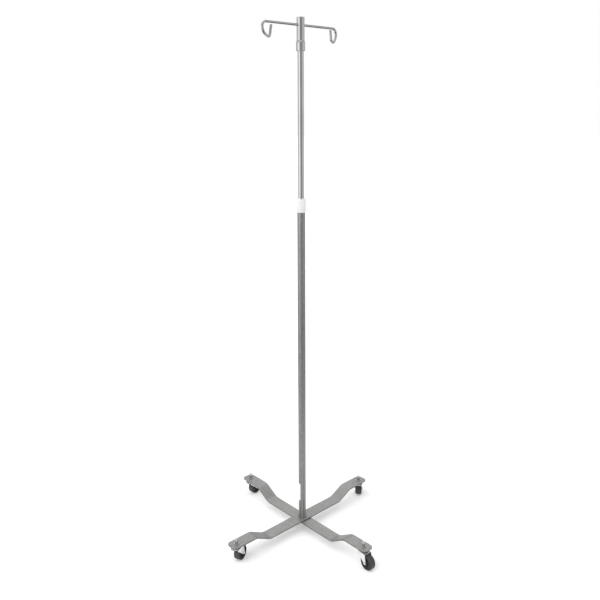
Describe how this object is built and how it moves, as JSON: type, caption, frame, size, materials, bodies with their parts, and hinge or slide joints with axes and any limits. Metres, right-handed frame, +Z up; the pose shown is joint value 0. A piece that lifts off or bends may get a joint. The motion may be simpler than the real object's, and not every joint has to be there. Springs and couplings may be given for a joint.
{
  "type": "rolling infusion stand",
  "caption": "Wheeled telescopic infusion stand: crossed flat-bar base on swivel casters, sliding lock collar and a lift-off top with hook loops.",
  "frame": {"origin": "on the floor, under the middle of the pole", "axes": "+Z up along the pole; the upper bar runs along X, the lower bar along Y"},
  "size_m": [0.6689, 0.674, 1.736],
  "materials": {
    "silver_paint": "silver-vein powder coat, semi-gloss",
    "chrome": "bright chrome plate",
    "zinc": "bright zinc-plated pressed steel",
    "dark_steel": "dark oiled steel",
    "white_plastic": "natural white, slightly translucent",
    "nylon": "turned nylon",
    "black_plastic": "moulded",
    "tyre_rubber": "matt rubber",
    "label_film": "blank printed film"
  },
  "bodies": {
    "base": {"base_bar_upper": "silver_paint", "base_bar_lower": "silver_paint", "lower_tube": "silver_paint", "foot_plug": "zinc", "base_washer": "zinc", "base_bolt": "zinc", "collet": "white_plastic", "blank_label": "label_film", "caster_stem_left": "zinc", "bearing_cup_left": "dark_steel", "caster_washer_left": "zinc", "caster_nut_left": "zinc", "caster_stem_front": "zinc", "bearing_cup_front": "dark_steel", "caster_washer_front": "zinc", "caster_nut_front": "zinc", "caster_stem_right": "zinc", "bearing_cup_right": "dark_steel", "caster_washer_right": "zinc", "caster_nut_right": "zinc", "caster_stem_back": "zinc", "bearing_cup_back": "dark_steel", "caster_washer_back": "zinc", "caster_nut_back": "zinc"},
    "collar": {"lock_collar": "white_plastic"},
    "height_guide": {"glide_bush": "nylon"},
    "inner_pole": {"upper_tube": "chrome", "hook_bush": "nylon", "bell_bush": "nylon"},
    "hook_top": {"hook_tube": "chrome", "hook_rod": "chrome", "hook_cap": "chrome"},
    "swivel_left": {"fork_left": "zinc", "ball_race_left": "zinc", "axle_left": "zinc"},
    "wheel_left": {"tyre_left": "tyre_rubber", "wheel_core_left": "black_plastic", "wheel_bush_left": "zinc"},
    "swivel_front": {"fork_front": "zinc", "ball_race_front": "zinc", "axle_front": "zinc"},
    "wheel_front": {"tyre_front": "tyre_rubber", "wheel_core_front": "black_plastic", "wheel_bush_front": "zinc"},
    "swivel_right": {"fork_right": "zinc", "ball_race_right": "zinc", "axle_right": "zinc"},
    "wheel_right": {"tyre_right": "tyre_rubber", "wheel_core_right": "black_plastic", "wheel_bush_right": "zinc"},
    "swivel_back": {"fork_back": "zinc", "ball_race_back": "zinc", "axle_back": "zinc"},
    "wheel_back": {"tyre_back": "tyre_rubber", "wheel_core_back": "black_plastic", "wheel_bush_back": "zinc"}
  },
  "joints": [
    {"name": "collar_release", "type": "slide", "parent": "base", "child": "collar", "axis": [0, 0, 1], "range_m": [0, 0.008]},
    {"name": "pole_height", "type": "slide", "parent": "base", "child": "height_guide", "axis": [0, 0, 1], "range_m": [-0.43, 0.53]},
    {"name": "pole_turn", "type": "hinge", "parent": "height_guide", "child": "inner_pole", "pos_m": [0, 0, 0.52], "axis": [0, 0, 1], "continuous": true},
    {"name": "hook_lift", "type": "slide", "parent": "inner_pole", "child": "hook_top", "axis": [0, 0, 1], "range_m": [0, 0.06]},
    {"name": "caster_left_swivel", "type": "hinge", "parent": "base", "child": "swivel_left", "pos_m": [-0.3, 0, 0.0575], "axis": [0, 0, 1], "continuous": true},
    {"name": "wheel_left_roll", "type": "hinge", "parent": "swivel_left", "child": "wheel_left", "pos_m": [-0.27883, 0.00899, 0.0254], "axis": [-0.3907, 0.9205, 0], "continuous": true},
    {"name": "caster_front_swivel", "type": "hinge", "parent": "base", "child": "swivel_front", "pos_m": [0, -0.3, 0.0575], "axis": [0, 0, 1], "continuous": true},
    {"name": "wheel_front_roll", "type": "hinge", "parent": "swivel_front", "child": "wheel_front", "pos_m": [-0.0028, -0.32283, 0.0254], "axis": [0.9925, -0.1219, 0], "continuous": true},
    {"name": "caster_right_swivel", "type": "hinge", "parent": "base", "child": "swivel_right", "pos_m": [0.3, 0, 0.0575], "axis": [0, 0, 1], "continuous": true},
    {"name": "wheel_right_roll", "type": "hinge", "parent": "swivel_right", "child": "wheel_right", "pos_m": [0.31837, 0.01384, 0.0254], "axis": [-0.6018, 0.7986, 0], "continuous": true},
    {"name": "caster_back_swivel", "type": "hinge", "parent": "base", "child": "swivel_back", "pos_m": [0, 0.3, 0.0575], "axis": [0, 0, 1], "continuous": true},
    {"name": "wheel_back_roll", "type": "hinge", "parent": "swivel_back", "child": "wheel_back", "pos_m": [0.02258, 0.30439, 0.0254], "axis": [-0.1908, 0.9816, 0], "continuous": true}
  ]
}
